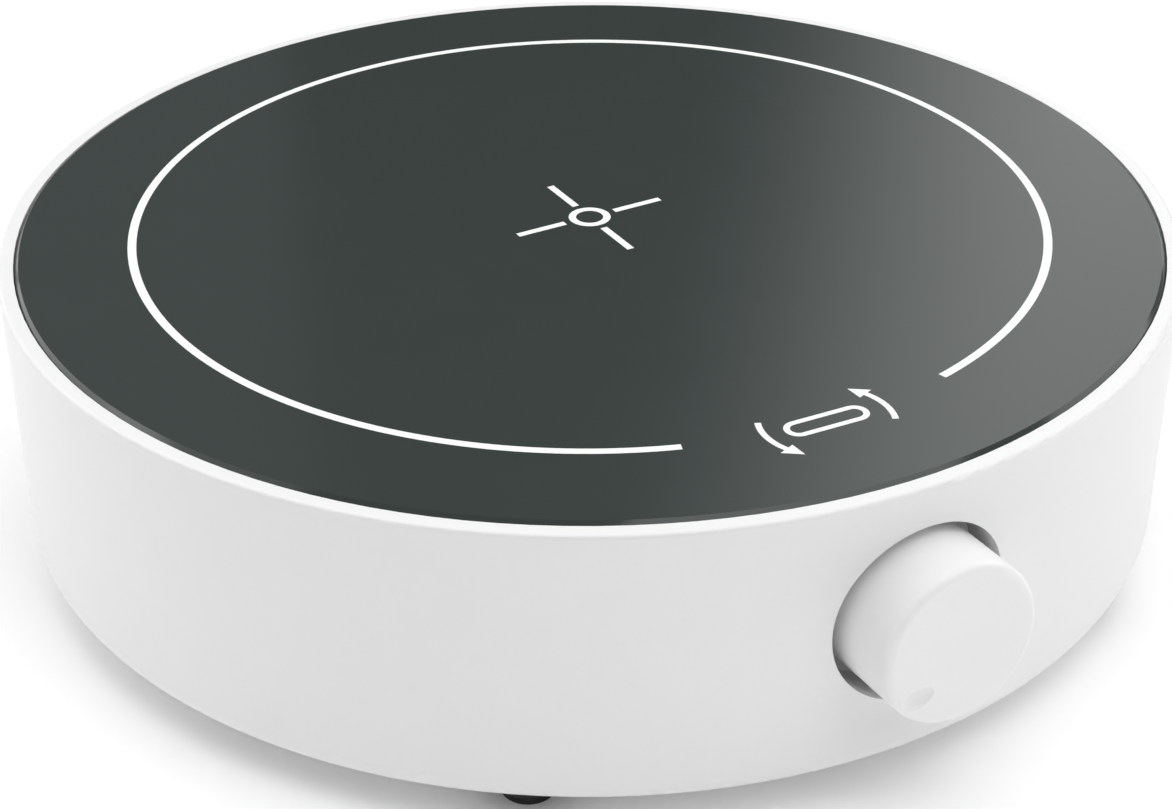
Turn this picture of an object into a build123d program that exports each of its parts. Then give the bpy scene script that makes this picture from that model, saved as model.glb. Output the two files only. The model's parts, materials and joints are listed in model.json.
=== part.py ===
"""Slim round magnetic stirrer: glass-topped tub, turning speed knob, magnet pair spun by a motor.

Millimetres, +Z up, -Y towards the speed knob.  The origin is on the tub's vertical axis, in the
plane that the rubber feet stand on.
"""

from build123d import *
from math import cos, pi, radians, sin, tan
import os

# ---------------------------------------------------------------- driving dimensions
# Tub
overall_height = 41.5        # feet to glass
top_diameter = 150.0         # at the rim
wall_draft = 0.9             # how much the wall's radius shrinks from rim to underside
wall = 2.4
floor = 2.4
underside_edge_radius = 3.4
rim_edge_radius = 0.5
floor_corner_radius = 2.0
ground_clearance = 4.4       # underside to the standing surface

# Glass and its seat
rim_width = 2.05             # white rim between the wall and the glass
glass_thickness = 4.0
glass_bevel = 0.5
glass_proud = 0.3            # glass above the rim
glass_gap = 0.15             # round the glass, to the rim
tape_thickness = 0.5
tape_width = 5.0
tape_margin = 0.4
seat_width = 5.95
seat_thickness = 2.0

# Service cover in the underside
cover_diameter = 84.0
cover_gap = 0.2
cover_ledge_width = 7.0
cover_ledge_outside = 2.0
cover_ledge_thickness = 1.8
cover_screw_count = 4
cover_screw_inset = 3.5      # screw circle inside the cover's edge
cover_screw_angle = 45.0     # first screw, from -Y
cover_vent_count = 12
cover_vent_radius = 22.0
cover_vent_length = 7.0
cover_vent_width = 2.0

# Screws: shank radius, head radius, head height
cover_screw = (1.15, 2.5, 1.5)
bracket_screw = (1.2, 2.6, 1.5)
motor_screw = (0.95, 1.8, 1.2)
board_screw = (0.95, 2.1, 1.4)
screw_slack = 0.35           # clearance hole over shank
pilot_slack = 0.05           # pilot hole over shank
head_slack = 0.25            # counterbore over head
boss_wall = 1.9
screw_bite = 5.0
screw_cross = (1.1, 0.26, 0.5)  # length and width over the head's radius, depth over its height
boss_end = 1.0               # boss depth past the screw's tip

# Feet
foot_angles = {"front_right": 36.0, "rear_right": 144.0, "rear_left": 216.0, "front_left": 324.0}
foot_inset = 8.9             # foot circle inside the tub's lower edge
foot_lip_diameter = 11.3
foot_lip_height = 1.3
foot_lip_thickness = 0.9
foot_nub_diameter = 6.7
foot_nub_edge = 0.6
foot_web = 0.5
foot_stem_diameter = 5.0
foot_barb_diameter = 6.8
foot_barb_height = 1.8
stem_gap = 0.1

# Speed knob and its pocket
knob_diameter = 20.2
knob_proud = 7.6             # face beyond the wall, at the knob's height
knob_edge_radius = 1.0
knob_pocket_gap = 1.37
knob_back_gap = 1.4
knob_wall = 2.3
knob_mouth_edge = 0.35
pocket_depth = 6.6           # wall's outside to the pocket's floor
pocket_floor = 2.0
pocket_wall = 1.8
pocket_roof = 1.03           # left between the pocket and the glass seat
tube_bury = 0.4
dimple_angle = 221.0         # knob at its minimum, from +X, seen from the front
dimple_radius = 7.7
dimple_length = 5.8          # long axis of the cutting spheroid
dimple_width = 3.54
dimple_lift = 1.1            # spheroid's centre in front of the face
dimple_tilt = 12.0           # long axis over the horizontal

# Potentiometer
pot_diameter = 16.4
pot_depth = 8.5
pot_skin = 1.0
pot_axis_height = 12.9       # over the board
bush_diameter = 7.0
bush_length = 6.2
shaft_diameter = 6.0
shaft_flat = 1.5             # depth of the D flat
shaft_running_gap = 0.03
shaft_reach = 2.4            # knob front left over the shaft's end
shaft_end_gap = 0.1
bush_end_gap = 0.6           # bush to the bottom of the knob's hollow
bush_hole_gap = 0.1
flat_fit = 0.02
washer_diameter = 11.0
washer_thickness = 0.5
nut_across_flats = 10.0
nut_thickness = 2.0
thread_gap = 0.05
pin_pitch = 5.0
pin_width = 0.9
pin_thickness = 0.5
pin_top_drop = 4.1           # pins end this far under the shaft's axis
wiper_diameter = 11.0
wiper_thickness = 1.5
wiper_gap = 0.2              # wiper to track
track_outer_diameter = 13.6
track_inner_diameter = 9.0
track_thickness = 0.6

# Control board and what stands on it
board_length = 48.0
board_width = 20.6
board_thickness = 1.6
board_front_gap = 1.0        # pocket floor to board
board_screw_inset = 3.5
board_screw_end_gap = 0.64   # screw tip to the tub's floor
solder_slack = 0.15
header_size = (6.6, 6.0, 5.6)
header_bore_depth = 2.0
header_setback = 0.6         # header inside the board's rear edge
motor_header_x = -8.0
power_header_x = 11.0
header_pitch = 2.0
header_axis_height = 2.9
lead_slack = 0.12            # round a lead in its header
capacitor_diameter = 8.0
capacitor_height = 12.0
capacitor_edge = 0.5
capacitor_place = (-17.5, 10.6)
inductor_diameter = 9.0
inductor_height = 5.0
inductor_drum_radius = 3.0
inductor_flange = 1.0
coil_inset = 0.5             # coil inside the flanges' edge
coil_gap = 0.05
inductor_place = (14.6, 9.0)
regulator_size = (6.5, 6.0, 2.3)
regulator_place = (1.2, 12.4)
sink_size = (9.0, 8.0, 0.8)
sink_fins = 4
sink_fin = (0.8, 1.4)        # thickness, height

# Power inlet
inlet_height = 20.0
inlet_barrel_diameter = 8.0
inlet_flange_diameter = 11.8
inlet_flange_thickness = 1.6
inlet_length = 12.2          # flange face to tail
inlet_bore_diameter = 6.2
inlet_bore_depth = 10.2
inlet_pin_diameter = 2.0
inlet_pin_setback = 1.0
inlet_recess = 1.8           # spot face below the wall's outside
inlet_panel = 3.6
inlet_boss_width = 18.0
inlet_boss_height = 16.0
inlet_hole_gap = 0.1
inlet_spot_gap = 0.3
inlet_edge = 0.25
inlet_pin_edge = 0.5
inlet_nut_across_flats = 11.0
tag_spread = 2.2
tag_size = (1.6, 5.0, 0.5)

# Motor
motor_diameter = 24.4
motor_height = 12.3
motor_skin = 0.7
motor_edge_radius = 0.7
end_cap_thickness = 1.8
end_cap_step = 0.3
motor_shaft_diameter = 2.0
motor_shaft_gap = 0.02
motor_bush_diameter = 4.4
motor_bush_length = 1.9
motor_boss_wall = 0.8
motor_boss_height = 1.6
motor_boss_gap = 0.3
motor_screw_spread = 16.0
motor_screw_bite = 0.75
motor_screw_slack = 0.18
field_thickness = 2.2
field_height = 8.0
field_air_gap = 0.6
field_slot_angle = 24.0      # gap between the two field magnets
field_glue = 0.03            # field magnets to the can's wall
pole_count = 3
core_height = 5.0
core_hub_radius = 2.6
core_tooth_width = 2.0
core_shoe_thickness = 1.1
core_shoe_angle = 98.0
winding_width = 4.9
winding_span = (3.9, 6.9)
winding_overhang = 0.8
winding_gap = 0.1
commutator_diameter = 4.8
commutator_height = 1.3
commutator_lift = 0.2
brush_size = (2.2, 1.4, 1.0)
brush_gap = 0.05
terminal_size = (1.6, 4.56, 0.5)
terminal_root = 2.0          # end cap's edge to the terminal's inner end
terminal_spread = 4.0
terminal_drop = 0.9

# Bracket, grommets and rotor
bracket_thickness = 1.2
bracket_width = 26.0
bracket_end_margin = 4.6
bracket_neck = 13.0
bracket_corner_radius = 4.3
bracket_screw_spread = 62.0
grommet_neck_diameter = 5.8
grommet_flange_diameter = 8.8
grommet_flange_thickness = 1.2
grommet_slack = 0.1
post_diameter = 6.4
magnet_diameter = 12.0
magnet_height = 6.0
magnet_spread = 34.0
magnet_gap_to_glass = 3.0
magnet_slack = 0.05
magnet_edge = 0.25
magnet_sink = 1.5
holder_diameter = 49.0
holder_thickness = 3.0
holder_collar_wall = 1.4
holder_collar_height = 2.2
holder_hub_diameter = 10.0
holder_hub_rise = 3.5
holder_hub_drop = 1.9
holder_boss_gap = 0.9        # hub to the motor's boss
keeper_thickness = 1.0
keeper_width = 12.0
keeper_slack = 0.05
grub_diameter = 2.4
grub_end_gap = 0.3
grub_tip_gap = 0.05

# Leads: points chosen by hand along their route
lead_diameter = 1.2
bend_share = 0.45            # of the shorter run beside a bend, taken by the bend
jack_lead_outer = [
    (2.2, 56.95, 20.0), (2.6, 52.4, 18.8), (8.2, 49.0, 13.6), (21.0, 46.4, 7.9), (41.5, 29.6, 7.7),
    (50.9, 3.0, 7.7), (43.9, -25.6, 7.8), (31.0, -37.2, 10.1), (20.6, -38.9, 12.7),
    (15.4, -39.5, 14.0), (12.4, -41.8, 14.5), (12.0, -45.2, 14.5),
]
jack_lead_inner = [
    (-2.2, 56.95, 20.0), (-1.6, 51.6, 18.4), (6.8, 46.9, 13.0), (20.2, 44.4, 7.9), (40.2, 28.6, 7.7),
    (49.2, 2.8, 7.7), (42.4, -24.2, 8.2), (30.0, -35.6, 10.5), (19.6, -37.2, 13.0),
    (13.3, -38.6, 14.3), (10.4, -41.6, 14.6), (10.0, -45.2, 14.5),
]
motor_lead_left = [
    (-4.0, -14.46, 11.2), (-4.3, -20.6, 11.3), (-6.6, -29.0, 12.0), (-8.7, -38.2, 14.0),
    (-9.0, -45.2, 14.5),
]
motor_lead_right = [
    (4.0, -14.46, 11.2), (3.6, -20.4, 11.3), (0.6, -28.4, 12.0), (-5.3, -36.8, 13.8),
    (-7.0, -45.2, 14.5),
]
clip_steps = (5, 6)          # ends of the straight run that the clip holds, on both inlet leads
clip_size = (5.6, 4.0, 2.9)
clip_wall = 1.0
clip_roof = 1.0

# ---------------------------------------------------------------- worked-out levels and radii
rim_z = overall_height - glass_proud
underside_z = ground_clearance
floor_z = underside_z + floor
glass_bottom_z = overall_height - glass_thickness
seat_z = glass_bottom_z - tape_thickness
top_r = top_diameter / 2
bottom_r = top_r - wall_draft
recess_r = top_r - rim_width
glass_r = recess_r - glass_gap
seat_inner_r = recess_r - seat_width


def outside_r(z):
    """Radius of the tub's outside at a height."""
    return bottom_r + wall_draft * (z - underside_z) / (rim_z - underside_z)


knob_r = knob_diameter / 2
pocket_r = knob_r + knob_pocket_gap
cup_r = pocket_r + pocket_wall
knob_z = seat_z - pocket_roof - pocket_r
wall_r = outside_r(knob_z)
knob_face_y = -(wall_r + knob_proud)
pocket_floor_y = -(wall_r - pocket_depth)
pot_face_y = pocket_floor_y + pocket_floor
board_top_z = knob_z - pot_axis_height
board_bottom_z = board_top_z - board_thickness
board_front_y = pot_face_y + board_front_gap
board_rear_y = board_front_y + board_width
cover_r = cover_diameter / 2
ledge_inner_r = cover_r - cover_ledge_width
ledge_outer_r = cover_r + cover_ledge_outside
ledge_z = floor_z + cover_ledge_thickness
cover_screw_r = cover_r - cover_screw_inset
magnet_top_z = glass_bottom_z - magnet_gap_to_glass
magnet_bottom_z = magnet_top_z - magnet_height
holder_top_z = magnet_bottom_z + magnet_sink
holder_bottom_z = holder_top_z - holder_thickness
hub_top_z = holder_top_z + holder_hub_rise
hub_bottom_z = holder_bottom_z - holder_hub_drop
motor_boss_z = hub_bottom_z - holder_boss_gap
motor_top_z = motor_boss_z - motor_boss_height
bracket_top_z = motor_top_z + bracket_thickness
motor_bottom_z = motor_top_z - motor_height
motor_r = motor_diameter / 2
motor_shaft_r = motor_shaft_diameter / 2
motor_bush_r = motor_bush_diameter / 2
can_bottom_z = motor_bottom_z + end_cap_thickness
can_roof_z = motor_top_z - motor_skin
post_top_z = motor_top_z - grommet_flange_thickness


def front_plane(y, z=knob_z):
    """A plane facing -Y, with its X along +X and its Y up."""
    return Plane(origin=(0, y, z), x_dir=(1, 0, 0), z_dir=(0, -1, 0))


def rear_plane(y, z=inlet_height):
    """A plane facing +Y, with its Y up."""
    return Plane(origin=(0, y, z), x_dir=(-1, 0, 0), z_dir=(0, 1, 0))


def polar(radius, angle):
    """A place on the underside; the angle is counted from -Y towards +X."""
    return (radius * sin(radians(angle)), -radius * cos(radians(angle)))


def ring(plane, outer_r, inner_r, height):
    """A washer-shaped piece standing on a plane."""
    with BuildPart() as made:
        with BuildSketch(plane):
            Circle(outer_r)
            Circle(inner_r, mode=Mode.SUBTRACT)
        extrude(amount=height)
    return made


def hex_nut(plane, across_flats, bore_r, height):
    """A plain hexagon nut."""
    with BuildPart() as made:
        with BuildSketch(plane):
            RegularPolygon(radius=across_flats / 2, side_count=6, major_radius=False)
            Circle(bore_r, mode=Mode.SUBTRACT)
        extrude(amount=height)
    return made


def pan_screws(places, seat, size, length, downward):
    """Pan-head screws whose heads sit on one level, their shanks going down or up from it."""
    shank_r, head_r, head_height = size
    cross_length, cross_width, cross_depth = screw_cross
    away = 1 if downward else -1
    with BuildPart() as made:
        with BuildSketch(Plane.XY.offset(seat)):
            with Locations(*places):
                Circle(head_r)
        extrude(amount=away * head_height)
        with BuildSketch(Plane.XY.offset(seat)):
            with Locations(*places):
                Circle(shank_r)
        extrude(amount=-away * length)
        with BuildSketch(Plane.XY.offset(seat + away * head_height)):
            with Locations(*places):
                Rectangle(head_r * cross_length, head_r * cross_width)
                Rectangle(head_r * cross_width, head_r * cross_length)
        extrude(amount=-away * head_height * cross_depth, mode=Mode.SUBTRACT)
    return made


def bend_radii(points):
    """The largest even bend at each inner point of a lead's route."""
    radii = []
    for before, here, after in zip(points, points[1:], points[2:]):
        coming = Vector(*here) - Vector(*before)
        going = Vector(*after) - Vector(*here)
        turn = radians(coming.get_angle(going))
        radii.append(bend_share * min(coming.length, going.length) / tan(turn / 2))
    return radii


def lead(points):
    """An insulated lead along a hand-chosen route."""
    radii = bend_radii(points)
    with BuildPart() as made:
        with BuildLine() as route:
            FilletPolyline(*points, radius=radii)
        with BuildSketch(Plane(origin=route.line @ 0, z_dir=route.line % 0)):
            Circle(lead_diameter / 2)
        sweep(path=route.line)
    expected = route.wires()[0].length * pi * lead_diameter**2 / 4
    print("lead bends", [round(radius, 1) for radius in radii], "volume", made.part.volume / expected)
    return made


pieces = {}

# ---------------------------------------------------------------- tub, glass and cover
board_screw_places = [
    (side * (board_length / 2 - board_screw_inset), y)
    for side in (-1, 1)
    for y in (board_front_y + board_screw_inset, board_rear_y - board_screw_inset)
]
cover_screw_places = [
    polar(cover_screw_r, cover_screw_angle + step * 360 / cover_screw_count)
    for step in range(cover_screw_count)
]
foot_places = {name: polar(bottom_r - foot_inset, angle) for name, angle in foot_angles.items()}
foot_hole_r = foot_stem_diameter / 2 + stem_gap
inlet_wall_r = outside_r(inlet_height)
inlet_face_y = inlet_wall_r - inlet_recess
inlet_inner_y = inlet_face_y - inlet_panel
inlet_barrel_r = inlet_barrel_diameter / 2
inner_drop_r = outside_r(floor_z) - wall

with BuildPart() as housing:
    with BuildSketch(Plane.XZ) as section:
        with BuildLine():
            Polyline(
                (cover_r + cover_gap, underside_z),
                (bottom_r, underside_z),
                (top_r, rim_z),
                (recess_r, rim_z),
                (recess_r, seat_z),
                (seat_inner_r, seat_z),
                (seat_inner_r, seat_z - seat_thickness),
                (outside_r(seat_z) - wall, seat_z - seat_thickness),
                (inner_drop_r, floor_z),
                (ledge_outer_r, floor_z),
                (ledge_outer_r, ledge_z),
                (ledge_inner_r, ledge_z),
                (ledge_inner_r, floor_z),
                (cover_r + cover_gap, floor_z),
                close=True,
            )
        make_face()
        fillet(section.vertices().sort_by_distance((bottom_r, underside_z))[0], underside_edge_radius)
        fillet(section.vertices().sort_by_distance((top_r, rim_z))[0], rim_edge_radius)
        fillet(section.vertices().sort_by_distance((inner_drop_r, floor_z))[0], floor_corner_radius)
    revolve(axis=Axis.Z)
    # Bosses that take the cover's screws and the board's
    with BuildSketch(Plane.XY.offset(floor_z)):
        with Locations(*cover_screw_places):
            Circle(cover_screw[0] + boss_wall)
    extrude(amount=screw_bite + boss_end)
    with BuildSketch(Plane.XY.offset(floor_z)):
        with Locations(*board_screw_places):
            Circle(board_screw[0] + boss_wall)
    extrude(amount=board_bottom_z - floor_z)
    with BuildSketch(Plane.XY.offset(floor_z)):
        with Locations(*cover_screw_places):
            Circle(cover_screw[0] + pilot_slack)
    extrude(amount=screw_bite, mode=Mode.SUBTRACT)
    with BuildSketch(Plane.XY.offset(board_bottom_z)):
        with Locations(*board_screw_places):
            Circle(board_screw[0] + pilot_slack)
    extrude(amount=-(board_bottom_z - floor_z), mode=Mode.SUBTRACT)
    # Cup behind the speed knob, kept below the glass seat
    with BuildSketch(front_plane(pot_face_y)):
        Circle(cup_r)
        with Locations((0, seat_z - knob_z)):
            Rectangle(2 * cup_r, cup_r, align=(Align.CENTER, Align.MIN), mode=Mode.SUBTRACT)
    extrude(amount=outside_r(knob_z) - wall + tube_bury + pot_face_y)
    with BuildSketch(front_plane(pocket_floor_y)):
        Circle(pocket_r)
    extrude(amount=pocket_depth + wall, mode=Mode.SUBTRACT)
    with BuildSketch(front_plane(pot_face_y)):
        Circle(bush_diameter / 2 + bush_hole_gap)
    extrude(amount=pocket_floor, mode=Mode.SUBTRACT)
    # Thick panel for the power inlet, spot-faced from outside
    with BuildSketch(rear_plane(inlet_inner_y)):
        Rectangle(inlet_boss_width, inlet_boss_height)
    extrude(amount=inlet_wall_r - wall + tube_bury - inlet_inner_y)
    with BuildSketch(rear_plane(inlet_face_y)):
        Circle(inlet_flange_diameter / 2 + inlet_spot_gap)
    extrude(amount=inlet_recess + wall, mode=Mode.SUBTRACT)
    with BuildSketch(rear_plane(inlet_inner_y)):
        Circle(inlet_barrel_r + inlet_hole_gap)
    extrude(amount=inlet_panel, mode=Mode.SUBTRACT)
    # Holes for the feet's stems
    with BuildSketch(Plane.XY.offset(underside_z)):
        with Locations(*foot_places.values()):
            Circle(foot_hole_r)
    extrude(amount=floor, mode=Mode.SUBTRACT)
pieces["housing"] = housing

with BuildPart() as glass_plate:
    with BuildSketch(Plane.XY.offset(glass_bottom_z)):
        Circle(glass_r)
    extrude(amount=glass_thickness)
    chamfer(glass_plate.edges().group_by(Axis.Z)[-1], glass_bevel)
pieces["glass_plate"] = glass_plate

tape_outer_r = recess_r - tape_margin
pieces["glass_tape"] = ring(Plane.XY.offset(seat_z), tape_outer_r, tape_outer_r - tape_width, tape_thickness)

post_places = [(-bracket_screw_spread / 2, 0), (bracket_screw_spread / 2, 0)]
with BuildPart() as bottom_cover:
    with BuildSketch(Plane.XY.offset(underside_z)):
        Circle(cover_r)
        with Locations(*cover_screw_places):
            Circle(cover_screw[0] + screw_slack, mode=Mode.SUBTRACT)
        with PolarLocations(cover_vent_radius, cover_vent_count):
            SlotOverall(cover_vent_length, cover_vent_width, mode=Mode.SUBTRACT)
    extrude(amount=floor)
    with BuildSketch(Plane.XY.offset(underside_z)):
        with Locations(*cover_screw_places):
            Circle(cover_screw[1] + head_slack)
    extrude(amount=cover_screw[2], mode=Mode.SUBTRACT)
    with BuildSketch(Plane.XY.offset(floor_z)):
        with Locations(*post_places):
            Circle(post_diameter / 2)
    extrude(amount=post_top_z - floor_z)
    with BuildSketch(Plane.XY.offset(post_top_z)):
        with Locations(*post_places):
            Circle(bracket_screw[0] + pilot_slack)
    extrude(amount=-(screw_bite + boss_end), mode=Mode.SUBTRACT)
pieces["bottom_cover"] = bottom_cover

cover_head_z = underside_z + cover_screw[2]
pieces["cover_screws"] = pan_screws(
    cover_screw_places, cover_head_z, cover_screw, floor_z - cover_head_z + screw_bite, False
)

# ---------------------------------------------------------------- feet
lip_r = foot_lip_diameter / 2
nub_r = foot_nub_diameter / 2
lip_bottom_z = underside_z - foot_lip_height
for foot_name, place in foot_places.items():
    foot_axis = Axis((place[0], place[1], 0), (0, 0, 1))
    with BuildPart() as foot:
        with BuildSketch(Plane(origin=foot_axis.position, x_dir=(1, 0, 0), z_dir=(0, -1, 0))) as section:
            with BuildLine():
                Polyline(
                    (0, 0),
                    (nub_r, 0),
                    (nub_r, underside_z - foot_web),
                    (lip_r - foot_lip_thickness, underside_z - foot_web),
                    (lip_r - foot_lip_thickness, lip_bottom_z),
                    (lip_r, lip_bottom_z),
                    (lip_r, underside_z),
                    (foot_stem_diameter / 2, underside_z),
                    (foot_stem_diameter / 2, floor_z),
                    (foot_barb_diameter / 2, floor_z),
                    (foot_stem_diameter / 2, floor_z + foot_barb_height),
                    (0, floor_z + foot_barb_height),
                    close=True,
                )
            make_face()
            fillet(section.vertices().sort_by_distance((nub_r, 0))[0], foot_nub_edge)
        revolve(axis=foot_axis)
    pieces["foot_" + foot_name] = foot

# ---------------------------------------------------------------- speed knob and potentiometer
pot_r = pot_diameter / 2
shaft_r = shaft_diameter / 2
knob_back_y = pocket_floor_y - knob_back_gap
bush_front_y = pot_face_y - bush_length
knob_hollow_y = bush_front_y - bush_end_gap
shaft_front_y = knob_face_y + shaft_reach + shaft_end_gap
pot_back_y = pot_face_y + pot_depth
wiper_back_y = pot_back_y - pot_skin - track_thickness - wiper_gap
dimple_x = dimple_radius * cos(radians(dimple_angle))
dimple_z = dimple_radius * sin(radians(dimple_angle))
dimple_dir = (cos(radians(dimple_tilt)), 0, sin(radians(dimple_tilt)))
dimple_centre = (dimple_x, knob_face_y - dimple_lift, knob_z + dimple_z)

with BuildPart() as speed_knob:
    with BuildSketch(front_plane(knob_back_y)):
        Circle(knob_r)
    extrude(amount=knob_back_y - knob_face_y)
    fillet(speed_knob.edges().sort_by(Axis.Y)[0], knob_edge_radius)
    fillet(speed_knob.edges().sort_by(Axis.Y)[-1], knob_mouth_edge)
    with BuildSketch(front_plane(knob_back_y)):
        Circle(knob_r - knob_wall)
    extrude(amount=knob_back_y - knob_hollow_y, mode=Mode.SUBTRACT)
    with BuildSketch(front_plane(knob_hollow_y)):
        Circle(shaft_r + flat_fit)
        with Locations((0, shaft_r - shaft_flat + flat_fit)):
            Rectangle(2 * shaft_diameter, shaft_diameter, align=(Align.CENTER, Align.MIN), mode=Mode.SUBTRACT)
    extrude(amount=knob_hollow_y - knob_face_y - shaft_reach, mode=Mode.SUBTRACT)
    with BuildSketch(Plane(origin=dimple_centre, x_dir=dimple_dir, z_dir=(0, -1, 0))):
        Ellipse(dimple_length / 2, dimple_width / 2)
        Rectangle(2 * dimple_length, dimple_width, align=(Align.CENTER, Align.MAX), mode=Mode.SUBTRACT)
    revolve(axis=Axis(dimple_centre, dimple_dir), mode=Mode.SUBTRACT)
pieces["speed_knob"] = speed_knob

with BuildPart() as potentiometer_shaft:
    with BuildSketch(front_plane(wiper_back_y)):
        Circle(shaft_r)
    extrude(amount=wiper_back_y - shaft_front_y)
    with BuildSketch(front_plane(shaft_front_y)):
        with Locations((0, shaft_r - shaft_flat)):
            Rectangle(2 * shaft_diameter, shaft_diameter, align=(Align.CENTER, Align.MIN))
    extrude(amount=-(knob_hollow_y - shaft_front_y), mode=Mode.SUBTRACT)
pieces["potentiometer_shaft"] = potentiometer_shaft

pieces["wiper"] = ring(front_plane(wiper_back_y), wiper_diameter / 2, shaft_r, wiper_thickness)

with BuildPart() as potentiometer_body:
    with BuildSketch(front_plane(pot_back_y)):
        Circle(pot_r)
    extrude(amount=pot_depth)
    with BuildSketch(front_plane(pot_back_y - pot_skin)):
        Circle(pot_r - pot_skin)
    extrude(amount=pot_depth - 2 * pot_skin, mode=Mode.SUBTRACT)
    with BuildSketch(front_plane(pot_face_y + pot_skin)):
        Circle(shaft_r + shaft_running_gap)
    extrude(amount=pot_skin, mode=Mode.SUBTRACT)
pieces["potentiometer_body"] = potentiometer_body

pieces["potentiometer_bush"] = ring(
    front_plane(pot_face_y), bush_diameter / 2, shaft_r + shaft_running_gap, bush_length
)
pieces["potentiometer_washer"] = ring(
    front_plane(pocket_floor_y), washer_diameter / 2, bush_diameter / 2 + thread_gap, washer_thickness
)
pieces["potentiometer_nut"] = hex_nut(
    front_plane(pocket_floor_y - washer_thickness),
    nut_across_flats,
    bush_diameter / 2 + thread_gap,
    nut_thickness,
)
pieces["potentiometer_track"] = ring(
    front_plane(pot_back_y - pot_skin), track_outer_diameter / 2, track_inner_diameter / 2, track_thickness
)

pin_centre_y = pot_back_y + pin_thickness / 2
pin_places = [(x, pin_centre_y) for x in (-pin_pitch, 0, pin_pitch)]
pin_bottom_z = board_bottom_z - pin_thickness
with BuildPart() as potentiometer_pins:
    with BuildSketch(Plane.XY.offset(pin_bottom_z)):
        with Locations(*pin_places):
            Rectangle(pin_width, pin_thickness)
    extrude(amount=knob_z - pin_top_drop - pin_bottom_z)
pieces["potentiometer_pins"] = potentiometer_pins

# ---------------------------------------------------------------- control board
with BuildPart() as control_board:
    with BuildSketch(Plane.XY.offset(board_bottom_z)):
        with Locations((0, (board_front_y + board_rear_y) / 2)):
            Rectangle(board_length, board_width)
        with Locations(*board_screw_places):
            Circle(board_screw[0] + screw_slack, mode=Mode.SUBTRACT)
        with Locations(*pin_places):
            Circle(pin_width / 2 + solder_slack, mode=Mode.SUBTRACT)
    extrude(amount=board_thickness)
pieces["control_board"] = control_board

pieces["board_screws"] = pan_screws(
    board_screw_places, board_top_z, board_screw, board_top_z - floor_z - board_screw_end_gap, True
)

header_width, header_depth, header_height = header_size
header_rear_y = board_rear_y - header_setback
for header_name, header_x in (("motor_header", motor_header_x), ("power_header", power_header_x)):
    with BuildPart() as header:
        with BuildSketch(Plane.XY.offset(board_top_z)):
            with Locations((header_x, header_rear_y - header_depth / 2)):
                Rectangle(header_width, header_depth)
        extrude(amount=header_height)
        with BuildSketch(Plane(origin=(header_x, header_rear_y, board_top_z + header_axis_height),
                               x_dir=(-1, 0, 0), z_dir=(0, 1, 0))):
            with GridLocations(header_pitch, 0, 2, 1):
                Circle(lead_diameter / 2 + lead_slack)
        extrude(amount=-header_bore_depth, mode=Mode.SUBTRACT)
    pieces[header_name] = header

capacitor_centre = (capacitor_place[0], board_front_y + capacitor_place[1])
with BuildPart() as capacitor:
    with BuildSketch(Plane.XY.offset(board_top_z)):
        with Locations(capacitor_centre):
            Circle(capacitor_diameter / 2)
    extrude(amount=capacitor_height)
    fillet(capacitor.edges().filter_by(GeomType.CIRCLE), capacitor_edge)
pieces["capacitor"] = capacitor

with BuildPart() as inductor:
    with BuildSketch(Plane.XY.offset(board_top_z)):
        with Locations((inductor_place[0], board_front_y + inductor_place[1])):
            Circle(inductor_diameter / 2)
    extrude(amount=inductor_height)
    with BuildSketch(Plane.XY.offset(board_top_z + inductor_flange)):
        with Locations((inductor_place[0], board_front_y + inductor_place[1])):
            Circle(inductor_diameter)
            Circle(inductor_drum_radius, mode=Mode.SUBTRACT)
    extrude(amount=inductor_height - 2 * inductor_flange, mode=Mode.SUBTRACT)
pieces["inductor"] = inductor

with BuildPart() as inductor_coil:
    with BuildSketch(Plane.XY.offset(board_top_z + inductor_flange + coil_gap)):
        with Locations((inductor_place[0], board_front_y + inductor_place[1])):
            Circle(inductor_diameter / 2 - coil_inset)
            Circle(inductor_drum_radius + coil_gap, mode=Mode.SUBTRACT)
    extrude(amount=inductor_height - 2 * (inductor_flange + coil_gap))
pieces["inductor_coil"] = inductor_coil

regulator_centre = (regulator_place[0], board_front_y + regulator_place[1])
with BuildPart() as regulator:
    with BuildSketch(Plane.XY.offset(board_top_z)):
        with Locations(regulator_centre):
            Rectangle(regulator_size[0], regulator_size[1])
    extrude(amount=regulator_size[2])
pieces["regulator"] = regulator

sink_bottom_z = board_top_z + regulator_size[2]
with BuildPart() as heat_sink:
    with BuildSketch(Plane.XY.offset(sink_bottom_z)):
        with Locations(regulator_centre):
            Rectangle(sink_size[0], sink_size[1])
    extrude(amount=sink_size[2])
    with BuildSketch(Plane.XY.offset(sink_bottom_z + sink_size[2])):
        with Locations(regulator_centre):
            with GridLocations((sink_size[0] - sink_fin[0]) / (sink_fins - 1), 0, sink_fins, 1):
                Rectangle(sink_fin[0], sink_size[1])
    extrude(amount=sink_fin[1])
pieces["heat_sink"] = heat_sink

# ---------------------------------------------------------------- power inlet
inlet_outer_y = inlet_face_y + inlet_flange_thickness
inlet_tail_y = inlet_outer_y - inlet_length
inlet_bore_y = inlet_outer_y - inlet_bore_depth
with BuildPart() as inlet_body:
    with BuildSketch(rear_plane(inlet_tail_y)):
        Circle(inlet_barrel_r)
    extrude(amount=inlet_face_y - inlet_tail_y)
    with BuildSketch(rear_plane(inlet_face_y)):
        Circle(inlet_flange_diameter / 2)
    extrude(amount=inlet_flange_thickness)
    with BuildSketch(rear_plane(inlet_bore_y)):
        Circle(inlet_bore_diameter / 2)
    extrude(amount=inlet_bore_depth, mode=Mode.SUBTRACT)
    chamfer(inlet_body.faces().sort_by(Axis.Y)[-1].edges(), inlet_edge)
pieces["inlet_body"] = inlet_body

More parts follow.
